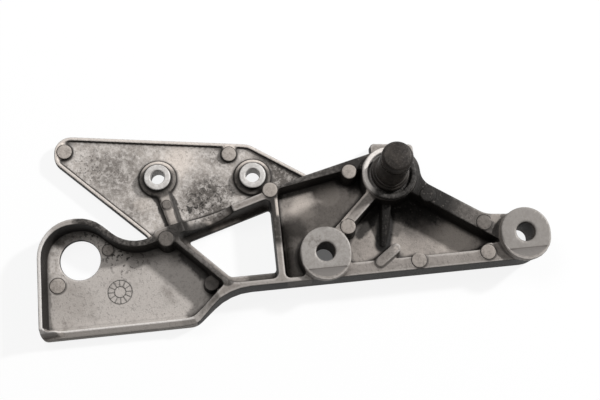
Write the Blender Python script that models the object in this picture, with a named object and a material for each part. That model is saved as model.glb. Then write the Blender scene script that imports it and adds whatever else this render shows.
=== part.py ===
"""Motorcycle footrest hanger: one aluminium die casting with a pressed-in steel pivot pin.

The hanger lies on its outer face. +X runs from the front frame bolt to the rear one, and +Z out of
the boss seats that bolt against the motorcycle's frame. The origin is the front bolt's axis in the
plane of the two seats. Heights in this file are measured up from the outer face, and the datum
empty lowers everything by the seat height.
"""

import math

import bmesh
import bpy
from mathutils import Vector

MM = 0.001

# Levels above the outer face
SEAT = 20.0 * MM            # machined faces of the frame bosses and of the pin boss
LAND = 16.0 * MM            # top of the perimeter walls
BODY_FLOOR = 4.0 * MM       # web between the frame bosses
WELL_FLOOR = 2.6 * MM       # thinner web beside the front boss
ARM_FLOOR = 3.2 * MM        # web of the silencer arm
ARM_LIP = 7.0 * MM          # low lip along the arm's open edge
PLATE = 4.9 * MM            # web of the heel plate
PLATE_RIM = 6.6 * MM        # raised rim of the heel plate
CYLINDER_SEAT = 10.0 * MM   # faces of the two master-cylinder bosses
LUG = 7.0 * MM              # footpeg lug that shows behind the pin boss
SADDLE = 7.4 * MM           # lowest level of the dip in the main wall, where the hose crosses
RIB = 15.6 * MM             # top of the rib between pin boss and front boss
GUSSET_FOOT = 5.0 * MM      # low end of the gusset under the pin boss
FINGER = 18.6 * MM          # far end of the spring finger on the lower wall
FINGER_FOOT = 16.6 * MM     # its near end
NUB = 16.6 * MM             # small nub beside the pin boss
ARM_COLUMN = 10.0 * MM      # ejector column in the arm's inner corner
AS_CAST_DROP = 0.4 * MM     # unmachined part of a boss below its machined face
PAD_STEP = 0.5 * MM         # height of an ejector pad over the face it stands on
EMBED = 1.0 * MM            # level, inside the web, at which a boss or a rib starts

# Frame bosses and their bolts
BOLT_PITCH = 104.2 * MM
BOLT_BORE_R = 4.9 * MM
BOLT_NECK_R = 4.2 * MM
BOLT_NECK = 6.0 * MM        # length of the narrower bore at the outer face
BOSS_R = 13.0 * MM
BOSS_TAIL = 2.0 * MM        # how far a frame boss reaches past its circle, onto the lower wall
BOSS_FLARE = 0.4 * MM       # extra radius of a frame boss at its foot
MACHINED_EDGE = 8.4 * MM    # the machining of a frame boss stops this far below its axis

# Pin boss and pivot pin
PIN_X = 38.0 * MM
PIN_Y = 38.0 * MM
PIN_BOSS_R = 14.1 * MM
PIN_RECESS_R = 11.3 * MM
PIN_RECESS = 1.6 * MM
PIN_R = 8.0 * MM
PIN_TIP = 50.0 * MM         # height of its free end above the outer face
PIN_TIP_R = 6.65 * MM
PIN_TIP_BEVEL = 1.5 * MM
CLIP_GROOVE_R = 7.1 * MM
CLIP_GROOVE = 1.5 * MM
CLIP_GROOVE_FROM_TIP = 4.9 * MM
PIN_COLLAR_R = 9.9 * MM
PIN_COLLAR = 4.4 * MM
PIN_COLLAR_BEVEL = 0.5 * MM
PIN_SHANK_R = 7.0 * MM
PIN_SHANK_BEVEL = 0.6 * MM
PIN_SHANK_FOOT = 3.0 * MM   # height of the pressed shank's lower end
FIT_GAP = 0.3 * MM

# Master-cylinder bosses on the heel plate
CYLINDER_PITCH = 50.0 * MM
CYLINDER_TILT = math.radians(-4.3)
CYLINDER_X = -82.9 * MM
CYLINDER_Y = 50.2 * MM
CYLINDER_BOSS_R = 6.9 * MM
CYLINDER_COLLAR_R = 9.8 * MM
CYLINDER_BORE_R = 3.7 * MM
CYLINDER_SKIRT = 1.6 * MM   # fillet between a boss and its collar

# Silencer opening, which the arm's head is centred round
SILENCER_X = -126.3 * MM
SILENCER_Y = 11.3 * MM
SILENCER_BORE_R = 10.5 * MM

# Silencer arm
ARM_HEAD_R = 20.3 * MM
ARM_HEAD_FLAT = 0.9 * MM    # short flat on top of the head
ARM_TAPER = 1.2 * MM        # the left edge leans out this far on its way down
ARM_HEAD_SLOPE = math.radians(43.5)
ARM_LOWER = -29.5 * MM
ARM_FOOT_R = 3.5 * MM
ARM_WALL = 4.0 * MM
ARM_SIDE_WALL = 2.9 * MM
ARM_LIP_WALL = 4.1 * MM
ARM_POCKET_FOOT_R = 2.0 * MM
HEEL_X = -68.7 * MM         # where the lower edge turns up towards the body
HEEL_R = 9.0 * MM
THROAT_Y = 14.6 * MM        # hollow between head and heel plate
THROAT_R = 18.0 * MM
THROAT_SLOPE = math.radians(17.6)
NOTCH_FLAT = 2.0 * MM       # straight end of the throat
NOTCH_STEP = 2.9 * MM       # small step up to the heel plate
NOTCH_R = 1.1 * MM
ARM_WALL_END = 5.4 * MM     # the left wall stops this far above the lower edge
ARM_WALL_RUNOUT = 5.0 * MM  # and slopes down over this length
LIP_CLIMB = ((-1.2, 0.0), (-0.4, 0.05), (0.1, 0.3), (0.45, 0.65), (0.8, 1.0))  # way along, way up

# Body
LOWER_EDGE = -14.3 * MM
NECK_X = -50.6 * MM
NECK_R = 30.0 * MM
REAR_REACH = 12.5 * MM      # body under the rear boss, behind its axis
REAR_LOW_R = 14.2 * MM
REAR_HIGH = 10.2 * MM
REAR_HIGH_R = 7.2 * MM
CROOK_AHEAD = 18.2 * MM     # hollow of the upper edge, ahead of the rear bolt
CROOK_Y = 13.2 * MM
CROOK_R = 12.0 * MM
SHOULDER_BEHIND = 17.9 * MM  # bend of the upper edge behind the pin
SHOULDER_BELOW = 4.2 * MM
SHOULDER_R = 8.0 * MM
CAP_BEHIND = 17.2 * MM      # wall round the top of the pin boss
CAP_ABOVE = 15.1 * MM
CAP_R = 13.0 * MM
CAP_AHEAD = 3.0 * MM
CAP_AHEAD_R = 6.0 * MM
BROW_X = -6.0 * MM
BROW_Y = 43.0 * MM
BROW_R = 8.0 * MM
WALL_BEND_X = -45.6 * MM
WALL_BEND_Y = 30.9 * MM
WALL_BEND_R = 8.0 * MM

# Window and the walls round it
MAIN_WALL = 4.9 * MM
MAIN_WALL_TILT = math.radians(16.7)
RAIL_WALL = 3.7 * MM
WINDOW_RIGHT = -25.0 * MM
CROSS_WALL = 3.5 * MM
DIAGONAL_X = -63.2 * MM     # a point on the diagonal wall's centre line
DIAGONAL_Y = 2.1 * MM
DIAGONAL_TILT = math.radians(-45.4)
DIAGONAL_WALL = 2.3 * MM
WINDOW_CORNER_R = 3.0 * MM
WINDOW_NECK_R = 8.0 * MM
LEDGE_ABOVE = 3.4 * MM      # web that stands into the window past each wall
LEDGE_DIAGONAL = 3.2 * MM
LEDGE_BELOW = 5.0 * MM
LEDGE_CROSS = 0.4 * MM

# Pocket between the frame bosses
LOWER_WALL = 7.8 * MM
WELL_WALL = 3.3 * MM
WELL_END = -11.8 * MM
WELL_TOP = 12.4 * MM        # the well's floor ends here
WELL_RAMP = 7.0 * MM        # and rises to the web over this length
WELL_RIGHT = -7.0 * MM
WELL_MARGIN = 2.6 * MM
REAR_STEP = 3.1 * MM        # the lower wall is this much wider at its rear end
REAR_STEP_LENGTH = 12.8 * MM  # over this length, measured from the sloping wall
REAR_WALL = 9.6 * MM
POCKET_TOP_X = 24.0 * MM
POCKET_TOP_Y = 44.4 * MM
BROW_WALL = 2.2 * MM
POCKET_R = 2.5 * MM

# Dip in the main wall
SADDLE_X = -57.5 * MM
SADDLE_R = 15.0 * MM
SADDLE_REACH = 6.5 * MM

# Heel plate
PLATE_LEFT = -136.6 * MM
PLATE_TIP_LOW = 64.0 * MM
PLATE_TIP_TOP = 79.3 * MM
PLATE_TIP_LOW_R = 7.0 * MM
PLATE_TIP_TOP_R = 9.0 * MM
PLATE_CROTCH_X = -91.9 * MM
PLATE_CROTCH_Y = 20.6 * MM
PLATE_CROTCH_R = 2.4 * MM
PLATE_BEND_X = -33.5 * MM
PLATE_BEND_Y = 65.0 * MM
PLATE_BEND_R = 12.0 * MM
PLATE_END_X = 1.0 * MM
PLATE_END_Y = 41.6 * MM
PLATE_ROOT = 4.2 * MM       # how deep the plate runs under the main wall
PLATE_RIM_WALL = 2.3 * MM
PLATE_RIB_BEHIND = 2.0 * MM  # upper end of the stiffening rib, behind the first boss's axis
PLATE_RIB_FOOT_X = -75.8 * MM
PLATE_RIB_FOOT_Y = 22.0 * MM
PLATE_RIB_TOP_R = 4.0 * MM
PLATE_RIB_FOOT_R = 3.2 * MM
PLATE_RIB_STEP = 0.3 * MM

# Ribs, finger and footpeg lug
LONG_RIB_R = 2.9 * MM
LONG_RIB_X = 1.0 * MM
LONG_RIB_Y = 3.6 * MM
GUSSET_X = 31.8 * MM
GUSSET_Y = 3.5 * MM
GUSSET_R = 1.3 * MM
GUSSET_ROOT_R = 3.0 * MM
GUSSET_RISE_END = 12.0 * MM  # its top is level this far below the pin's axis
FINGER_X = 27.6 * MM
FINGER_Y = -7.6 * MM
FINGER_END_X = 36.2 * MM
FINGER_END_Y = -1.6 * MM
FINGER_R = 2.5 * MM
NUB_X = 19.6 * MM
NUB_Y = 43.4 * MM
NUB_END_X = 24.6 * MM
NUB_END_Y = 44.8 * MM
NUB_R = 1.5 * MM
LUG_LEFT = 31.0 * MM
LUG_RIGHT = 54.6 * MM
LUG_FOOT = 44.0 * MM
LUG_TOP = 59.0 * MM
LUG_FALL = 2.6 * MM         # how much lower its rear end is
LUG_R = 2.4 * MM

# Drafts and fillets
OUTER_DRAFT = math.radians(4.0)
INNER_DRAFT = math.radians(2.5)
OUTER_EDGE_R = 2.0 * MM
FLOOR_FILLET = 1.5 * MM
RIB_DRAFT = math.radians(4.0)

# Ejector pads: place and the level of the face that each stands on
PAD_R = 4.0 * MM
SMALL_PAD_R = 3.0 * MM
RIB_PAD_R = 2.4 * MM
PADS = (
    ("pad_main_left", -80.4 * MM, 15.3 * MM, LAND, PAD_R),
    ("pad_main_right", -24.9 * MM, 35.9 * MM, LAND, PAD_R),
    ("pad_top", 17.3 * MM, 41.6 * MM, LAND, PAD_R),
    ("pad_rib", 13.3 * MM, 12.4 * MM, LAND, PAD_R),
    ("pad_slope", PIN_X + 18.6 * MM, PIN_Y - 12.6 * MM, LAND, PAD_R),
    ("pad_rear", BOLT_PITCH - 20.1 * MM, 7.6 * MM, LAND, PAD_R),
    ("pad_low_middle", 47.6 * MM, -8.7 * MM, LAND, PAD_R),
    ("pad_low_rear", BOLT_PITCH - 20.3 * MM, -8.0 * MM, LAND, PAD_R),
    ("pad_arm_corner", -59.3 * MM, -8.8 * MM, ARM_COLUMN, PAD_R),
    ("pad_plate_tip", -130.7 * MM, 69.6 * MM, PLATE_RIM, PAD_R),
    ("pad_plate_top", -44.4 * MM, 60.1 * MM, PLATE_RIM, PAD_R),
    ("pad_plate_rib", -79.4 * MM, 35.5 * MM, PLATE_RIM, RIB_PAD_R),
    ("pad_arm_left", SILENCER_X - 12.2 * MM, SILENCER_Y - 12.4 * MM, ARM_FLOOR, PAD_R),
    ("pad_arm_top", SILENCER_X + 14.7 * MM, SILENCER_Y + 3.8 * MM, ARM_FLOOR, SMALL_PAD_R),
)

# Resolution of the round stretches
ARC_STEP = math.radians(11.25)
QUARTER_STEPS = 3
TURN_SEGMENTS = 48
SMALL_SEGMENTS = 32
PIN_SEGMENTS = 64
BAR_ARC = 12
SHARP = math.radians(30.0)
SMALLEST_R = 0.02 * MM
OVERRUN = 3.0 * MM          # how far a cutter runs past the metal
CUT_RISE = 10.0 * MM
CUT_TOP = SEAT + CUT_RISE


def towards(point, angle, distance):
    """The point that lies a distance away in a direction."""
    return point[0] + distance * math.cos(angle), point[1] + distance * math.sin(angle)


def crossing(a, b, c, d):
    """Where the line through a and b meets the line through c and d."""
    ab = Vector((b[0] - a[0], b[1] - a[1]))
    cd = Vector((d[0] - c[0], d[1] - c[1]))
    share = (Vector(c[:2]) - Vector(a[:2])).cross(cd) / ab.cross(cd)
    return a[0] + ab.x * share, a[1] + ab.y * share


def offset(corners, walls, radii=None):
    """Move each edge of a counter-clockwise outline inwards by its own distance.

    Edge i starts at corner i. Corner arcs stay concentric unless radii gives their size.
    """
    moved = []
    for i, (x, y, r) in enumerate(corners):
        corner = Vector((x, y))
        before = (corner - Vector(corners[i - 1][:2])).normalized()
        after = (Vector(corners[(i + 1) % len(corners)][:2]) - corner).normalized()
        sine = before.cross(after)
        near, far = walls[i - 1], walls[i]
        place = corner + (after * near - before * far) / sine
        radius = r - math.copysign(1.0, sine) * (near + far) / 2.0
        moved.append((place.x, place.y, radii[i] if radii else max(radius, SMALLEST_R) if r > 0.0 else 0.0))
    return moved


def inset(corners, distance):
    return offset(corners, [distance] * len(corners))


def sides(corners, i):
    """The corner, and the directions back and ahead along the outline."""
    corner = Vector(corners[i][:2])
    back = (Vector(corners[i - 1][:2]) - corner).normalized()
    ahead = (Vector(corners[(i + 1) % len(corners)][:2]) - corner).normalized()
    return corner, back, ahead


def arc_counts(corners):
    """How many steps each corner's arc takes, so that every level of a solid has as many points."""
    counts = []
    for i in range(len(corners)):
        corner, back, ahead = sides(corners, i)
        counts.append(max(1, math.ceil((math.pi - back.angle(ahead)) / ARC_STEP)))
    return counts


def rounded(corners, counts):
    """Points of an outline whose corners are arcs of the given radii."""
    points = []
    for i, (r, steps) in enumerate(zip((corner[2] for corner in corners), counts)):
        corner, back, ahead = sides(corners, i)
        if r <= 0.0:
            points.append(corner)
            continue
        turn = math.pi - back.angle(ahead)
        centre = corner + (back + ahead).normalized() * (r / math.cos(turn / 2.0))
        start = corner + back * (r * math.tan(turn / 2.0)) - centre
        sense = math.copysign(turn / steps, -back.cross(ahead))
        for k in range(steps + 1):
            cosine = math.cos(sense * k)
            sine = math.sin(sense * k)
            points.append(centre + Vector((start.x * cosine - start.y * sine, start.x * sine + start.y * cosine)))
    return points


def helper(name, mesh):
    """A solid that is only joined to another or cut out of it."""
    thing = bpy.data.objects.new(name, mesh)
    bpy.context.scene.collection.objects.link(thing)
    thing.parent = datum
    thing.hide_render = True
    thing.display_type = 'WIRE'
    return thing


def shown(thing, finish):
    """A solid that is a sub-part of its own."""
    thing.hide_render = False
    thing.display_type = 'TEXTURED'
    thing.data.materials.append(finish)
    return thing


def stack(name, loops):
    """Close equally long loops into a solid, from the first loop to the last."""
    shape = bmesh.new()
    rings = [[shape.verts.new(point) for point in loop] for loop in loops]
    shape.faces.new(list(reversed(rings[0])))
    shape.faces.new(rings[-1])
    for low, high in zip(rings, rings[1:]):
        for i in range(len(low)):
            j = (i + 1) % len(low)
            shape.faces.new((low[i], low[j], high[j], high[i]))
    bmesh.ops.recalc_face_normals(shape, faces=shape.faces[:])
    mesh = bpy.data.meshes.new(name)
    shape.to_mesh(mesh)
    shape.free()
    return helper(name, mesh)


def drafted(name, corners, levels):
    """Solid over an outline, from (height, inset) levels listed from the bottom up."""
    counts = arc_counts(corners)
    return stack(name, [[(p[0], p[1], height) for p in rounded(inset(corners, distance), counts)]
                        for height, distance in levels])


def circle(x, y, radius, height, segments):
    return [(*towards((x, y), 2.0 * math.pi * i / segments, radius), height) for i in range(segments)]


def turned(name, x, y, profile, segments=TURN_SEGMENTS):
    """Solid of revolution about an upright axis, from (radius, height) points listed upwards."""
    return stack(name, [circle(x, y, radius, height, segments) for radius, height in profile])


def bar(name, start, end, levels):
    """Bar with round ends over two (x, y, radius) circles, from (height, inset) levels."""
    heading = math.atan2(end[1] - start[1], end[0] - start[0])
    ends = ((end, heading - math.pi / 2.0), (start, heading + math.pi / 2.0))
    loops = []
    for height, distance in levels:
        loops.append([(*towards((x, y), first + math.pi * k / BAR_ARC, r - distance), height)
                      for (x, y, r), first in ends for k in range(BAR_ARC + 1)])
    return stack(name, loops)


def rod(name, start, end, radius, segments=TURN_SEGMENTS):
    """Round bar that lies between two points."""
    start = Vector(start)
    end = Vector(end)
    side = (end - start).cross(Vector((0.0, 0.0, 1.0))).normalized()
    up = side.cross(end - start).normalized()
    angles = [2.0 * math.pi * i / segments for i in range(segments)]
    return stack(name, [[middle + (side * math.cos(a) + up * math.sin(a)) * radius for a in angles]
                        for middle in (start, end)])


def slope(thing, y_low, z_low, y_high, z_high):
    """Let the top of a bar climb in Y from one height to another."""
    bottom = min(vertex.co.z for vertex in thing.data.vertices)
    for vertex in thing.data.vertices:
        if vertex.co.z > bottom:
            share = (vertex.co.y - y_low) / (y_high - y_low)
            vertex.co.z = z_low + max(0.0, min(1.0, share)) * (z_high - z_low)
    return thing


def quarter(radius):
    """(rise, reach) pairs of a quarter-round from flat to upright."""
    angles = [math.pi / 2.0 * k / QUARTER_STEPS for k in range(QUARTER_STEPS + 1)]
    return [(radius * (1.0 - math.cos(a)), radius * (1.0 - math.sin(a))) for a in angles]


def pocket_levels(floor, top):
    """Levels of a pocket: a quarter-round at the floor, then drafted walls past the land."""
    reach = (top - floor) * math.tan(INNER_DRAFT)
    levels = [(floor + rise, reach + run) for rise, run in quarter(FLOOR_FILLET)]
    return levels + [(CUT_TOP, -(CUT_TOP - top) * math.tan(INNER_DRAFT))]


def wall_levels(top):
    """Levels of an outside wall: round edge at the outer face, then draft up to the top."""
    return quarter(OUTER_EDGE_R) + [(top, (top - OUTER_EDGE_R) * math.tan(OUTER_DRAFT))]


def boolean(target, tool, operation):
    change = target.modifiers.new(tool.name, 'BOOLEAN')
    change.solver = 'EXACT'
    change.operation = operation
    change.object = tool


def join(target, tool):
    boolean(target, tool, 'UNION')


def cut(target, tool):
    boolean(target, tool, 'DIFFERENCE')


def finish(name, colour, metallic, roughness):
    new = bpy.data.materials.new(name)
    new.use_nodes = True
    shader = new.node_tree.nodes["Principled BSDF"]
    shader.inputs["Base Color"].default_value = (*colour, 1.0)
    shader.inputs["Metallic"].default_value = metallic
    shader.inputs["Roughness"].default_value = roughness
    return new


# Corners of the silhouette, each as x, y and radius
ARM_LEFT = SILENCER_X - ARM_HEAD_R
ARM_TOP = SILENCER_Y + ARM_HEAD_R
FOOT = (ARM_LEFT - ARM_TAPER, ARM_LOWER, ARM_FOOT_R)
HEEL = (HEEL_X, ARM_LOWER, HEEL_R)
NECK = (NECK_X, LOWER_EDGE, NECK_R)
HEAD_LEFT = (ARM_LEFT, ARM_TOP, ARM_HEAD_R)
HEAD_RIGHT = (SILENCER_X + ARM_HEAD_FLAT + ARM_HEAD_R * math.tan(ARM_HEAD_SLOPE / 2.0), ARM_TOP, ARM_HEAD_R)
THROAT = (HEAD_RIGHT[0] + (ARM_TOP - THROAT_Y) / math.tan(ARM_HEAD_SLOPE), THROAT_Y, THROAT_R)
THROAT_LENGTH = THROAT_R * math.tan((ARM_HEAD_SLOPE + THROAT_SLOPE) / 2.0) + NOTCH_FLAT
NOTCH_FOOT = (*towards(THROAT, THROAT_SLOPE, THROAT_LENGTH), NOTCH_R)
NOTCH_TOP = (*towards(NOTCH_FOOT, THROAT_SLOPE + math.pi / 3.0, NOTCH_STEP), NOTCH_R)
WALL_BEND = (WALL_BEND_X, WALL_BEND_Y, WALL_BEND_R)
BROW = (BROW_X, BROW_Y, BROW_R)
CAP_FRONT = (PIN_X - CAP_AHEAD, PIN_Y + CAP_ABOVE, CAP_AHEAD_R)
CAP_REAR = (PIN_X + CAP_BEHIND, PIN_Y + CAP_ABOVE, CAP_R)
SHOULDER = (PIN_X + SHOULDER_BEHIND, PIN_Y - SHOULDER_BELOW, SHOULDER_R)
CROOK = (BOLT_PITCH - CROOK_AHEAD, CROOK_Y, CROOK_R)
REAR_TOP = (BOLT_PITCH + REAR_REACH, REAR_HIGH, REAR_HIGH_R)
REAR_FOOT = (BOLT_PITCH + REAR_REACH, LOWER_EDGE, REAR_LOW_R)
SILHOUETTE = [FOOT, HEEL, NECK, REAR_FOOT, REAR_TOP, CROOK, SHOULDER, CAP_REAR, CAP_FRONT, BROW, WALL_BEND,
              NOTCH_TOP, NOTCH_FOOT, THROAT, HEAD_RIGHT, HEAD_LEFT]

# Centre line of the diagonal wall, and the underside of the main wall
DIAGONAL = (DIAGONAL_X, DIAGONAL_Y)
DIAGONAL_END = towards(DIAGONAL, DIAGONAL_TILT, BOLT_PITCH)
MAIN_UNDER = (WALL_BEND_X, WALL_BEND_Y - MAIN_WALL)
MAIN_UNDER_END = towards(MAIN_UNDER, MAIN_WALL_TILT, BOLT_PITCH)


def arm_pocket():
    """The arm's pocket keeps a wall's width from the silhouette and half a wall from the diagonal."""
    low = (*crossing(DIAGONAL, DIAGONAL_END, HEEL, NECK), 0.0)
    high = (*crossing(DIAGONAL, DIAGONAL_END, NOTCH_FOOT, THROAT), 0.0)
    corners = [FOOT, HEEL, low, high, THROAT, HEAD_RIGHT, HEAD_LEFT]
    half = DIAGONAL_WALL / 2.0
    walls = [ARM_LIP_WALL, ARM_LIP_WALL, half, ARM_WALL, ARM_WALL, ARM_WALL, ARM_SIDE_WALL]
    inner = ARM_HEAD_R - ARM_WALL
    radii = [ARM_POCKET_FOOT_R, HEEL_R, ARM_POCKET_FOOT_R, ARM_POCKET_FOOT_R, THROAT_R + ARM_WALL, inner, inner]
    return offset(corners, walls, radii)


def window_recess():
    """Inner faces of the four walls round the window, from the upper right corner."""
    left = DIAGONAL_WALL / 2.0
    right = ((WINDOW_RIGHT, 0.0), (WINDOW_RIGHT, BOLT_PITCH))
    rail = ((0.0, LOWER_EDGE + RAIL_WALL), (BOLT_PITCH, LOWER_EDGE + RAIL_WALL))
    side = towards(DIAGONAL, DIAGONAL_TILT + math.pi / 2.0, left)
    side_end = towards(DIAGONAL_END, DIAGONAL_TILT + math.pi / 2.0, left)
    return [(*crossing(MAIN_UNDER, MAIN_UNDER_END, *right), WINDOW_CORNER_R),
            (*crossing(MAIN_UNDER, MAIN_UNDER_END, side, side_end), WINDOW_CORNER_R),
            (*crossing(side, side_end, *rail), WINDOW_NECK_R),
            (*crossing(*rail, *right), WINDOW_CORNER_R)]


def window():
    """The opening in the web, a ledge's width inside the walls."""
    return offset(window_recess(), [LEDGE_ABOVE, LEDGE_DIAGONAL, LEDGE_BELOW, LEDGE_CROSS])


def body_pocket():
    """Pocket between the frame bosses, which the bosses themselves fill again where they stand."""
    left = WINDOW_RIGHT + CROSS_WALL
    well = LOWER_EDGE + WELL_WALL
    lower = LOWER_EDGE + LOWER_WALL
    slant = [(*place, 0.0) for place in (CROOK[:2], SHOULDER[:2], (PIN_X, PIN_Y))]
    wall = offset(slant, [REAR_WALL, 0.0, 0.0])
    raised = lower + REAR_STEP
    meeting = crossing(wall[0], wall[1], (0.0, raised), (BOLT_PITCH, raised))
    step = meeting[0] - REAR_STEP_LENGTH
    behind_pin = crossing(wall[0], wall[1], (PIN_X, 0.0), (PIN_X, PIN_Y))
    return [(left, well, POCKET_R),
            (WELL_END, well, POCKET_R),
            (WELL_END + POCKET_R, lower, 0.0),
            (step, lower, POCKET_R),
            (step + REAR_STEP, raised, POCKET_R),
            (*meeting, 0.0),
            (*behind_pin, 0.0),
            (POCKET_TOP_X, POCKET_TOP_Y, POCKET_R),
            (left, BROW_Y - BROW_WALL - (BROW_X - left) * math.tan(MAIN_WALL_TILT), POCKET_R)]


def plate_outline():
    """Heel plate, which runs a little way under the main wall."""
    return [(PLATE_LEFT, PLATE_TIP_LOW, PLATE_TIP_LOW_R),
            (PLATE_CROTCH_X, PLATE_CROTCH_Y, PLATE_CROTCH_R),
            (NOTCH_TOP[0], NOTCH_FOOT[1] - PLATE_ROOT, 0.0),
            (WALL_BEND_X, WALL_BEND_Y - PLATE_ROOT, 0.0),
            (BROW_X, BROW_Y - PLATE_ROOT, 0.0),
            (PLATE_END_X, PLATE_END_Y, 0.0),
            (PLATE_BEND_X, PLATE_BEND_Y, PLATE_BEND_R),
            (PLATE_LEFT, PLATE_TIP_TOP, PLATE_TIP_TOP_R)]


def cylinder_bolts():
    """Axes of the two master-cylinder screws."""
    first = (CYLINDER_X, CYLINDER_Y)
    return [first, towards(first, CYLINDER_TILT, CYLINDER_PITCH)]


def build_plate(casting):
    """Heel plate with its rim, collars, cylinder bosses and stiffening rib."""
    plate = drafted("plate", plate_outline(), wall_levels(PLATE_RIM))
    slack = (CUT_TOP - PLATE) * math.tan(INNER_DRAFT)
    floor = [(PLATE, PLATE_RIM_WALL), (CUT_TOP, PLATE_RIM_WALL - slack)]
    cut(plate, drafted("plate_step", plate_outline(), floor))
    join(casting, plate)
    for index, (x, y) in enumerate(cylinder_bolts()):
        profile = [(CYLINDER_COLLAR_R, EMBED),
                   (CYLINDER_COLLAR_R, PLATE_RIM - FIT_GAP),
                   (CYLINDER_COLLAR_R - FIT_GAP, PLATE_RIM),
                   (CYLINDER_BOSS_R + CYLINDER_SKIRT, PLATE_RIM),
                   (CYLINDER_BOSS_R + FIT_GAP, PLATE_RIM + CYLINDER_SKIRT),
                   (CYLINDER_BOSS_R, CYLINDER_SEAT)]
        join(casting, turned("cylinder_boss_%d" % (index + 1), x, y, profile))
    top = (CYLINDER_X + PLATE_RIB_BEHIND, CYLINDER_Y - CYLINDER_BOSS_R, PLATE_RIB_TOP_R)
    foot = (PLATE_RIB_FOOT_X, PLATE_RIB_FOOT_Y, PLATE_RIB_FOOT_R)
    levels = [(EMBED, 0.0), (PLATE, 0.0), (PLATE_RIM + PLATE_RIB_STEP, PLATE_RIM - PLATE)]
    join(casting, bar("plate_rib", top, foot, levels))


def build_saddle(casting):
    """Round dip across the main wall."""
    under = towards(MAIN_UNDER, MAIN_WALL_TILT, (SADDLE_X - WALL_BEND_X) / math.cos(MAIN_WALL_TILT))
    across = MAIN_WALL_TILT + math.pi / 2.0
    lift = SADDLE + SADDLE_R
    near = (*towards(under, across, MAIN_WALL / 2.0 - SADDLE_REACH), lift)
    far = (*towards(under, across, MAIN_WALL / 2.0 + SADDLE_REACH), lift)
    cut(casting, rod("saddle", near, far, SADDLE_R))


def build_arm(casting):
    """Silencer arm: pocket, lip that climbs to the rail, and the sloped end of its left wall."""
    cut(casting, drafted("arm_pocket", arm_pocket(), pocket_levels(ARM_FLOOR, LAND)))
    rise = NECK_X - HEEL_X
    stations = [(FOOT[0] - OVERRUN, ARM_LIP)]
    stations += [(HEEL_X + along * rise, ARM_LIP + up * (LAND + PAD_STEP - ARM_LIP)) for along, up in LIP_CLIMB]
    trim = []
    for x, height in stations:
        climb = max(0.0, (x - HEEL_X) / rise) * (LOWER_EDGE - ARM_LOWER)
        inner = (x - climb / 3.0, ARM_LOWER + ARM_WALL_END + ARM_WALL + climb)
        outer = (x + climb / 2.0, ARM_LOWER - OVERRUN)
        trim.append([(*inner, height), (*outer, height), (*outer, CUT_TOP), (*inner, CUT_TOP)])
    lip_trim = stack("lip_trim", trim)
    end = ARM_LOWER + ARM_WALL_END
    far_left = FOOT[0] - 2.0 * OVERRUN
    right = FOOT[0] + ARM_WALL + OVERRUN
    kept = [(far_left, end, 0.0), (right, end, 0.0), (right, 0.0, 0.0), (far_left, 0.0, 0.0)]
    cut(lip_trim, drafted("wall_end", kept, [(ARM_FLOOR, -ARM_WALL_RUNOUT), (LAND + EMBED, 0.0)]))
    cut(casting, lip_trim)


def build_bosses(casting):
    """Frame bosses with their tails, and the pin boss."""
    for name, x in (("front_boss", 0.0), ("rear_boss", BOLT_PITCH)):
        levels = [(OUTER_EDGE_R, BOSS_TAIL), (LAND - BOSS_TAIL, BOSS_FLARE), (SEAT, 0.0)]
        boss = bar(name, (x, 0.0, BOSS_R), (x, -BOSS_TAIL, BOSS_R), levels)
        join(boss, turned(name + "_post", x, 0.0, [(BOSS_R + BOSS_FLARE, OUTER_EDGE_R), (BOSS_R, SEAT)]))
        far = BOSS_R + BOSS_TAIL + OVERRUN
        below = [(x - far, -far, 0.0), (x + far, -far, 0.0), (x + far, -MACHINED_EDGE, 0.0),
                 (x - far, -MACHINED_EDGE, 0.0)]
        cut(boss, drafted(name + "_as_cast", below, [(SEAT - AS_CAST_DROP, 0.0), (CUT_TOP, 0.0)]))
        join(casting, boss)
    foot = PIN_BOSS_R + SEAT * math.tan(INNER_DRAFT)
    join(casting, turned("pin_boss", PIN_X, PIN_Y, [(foot, EMBED), (PIN_BOSS_R, SEAT)]))


def build_well(casting):
    """Thinner web beside the front boss, with a ramp up to the rest of the floor."""
    left = WINDOW_RIGHT + CROSS_WALL + WELL_MARGIN
    low = LOWER_EDGE + WELL_WALL + WELL_MARGIN
    profile = [(low, WELL_FLOOR), (WELL_TOP, WELL_FLOOR), (WELL_TOP + WELL_RAMP, BODY_FLOOR + EMBED),
               (low, BODY_FLOOR + EMBED)]
    cut(casting, stack("well", [[(x, y, z) for y, z in profile] for x in (left, WELL_RIGHT)]))


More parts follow.
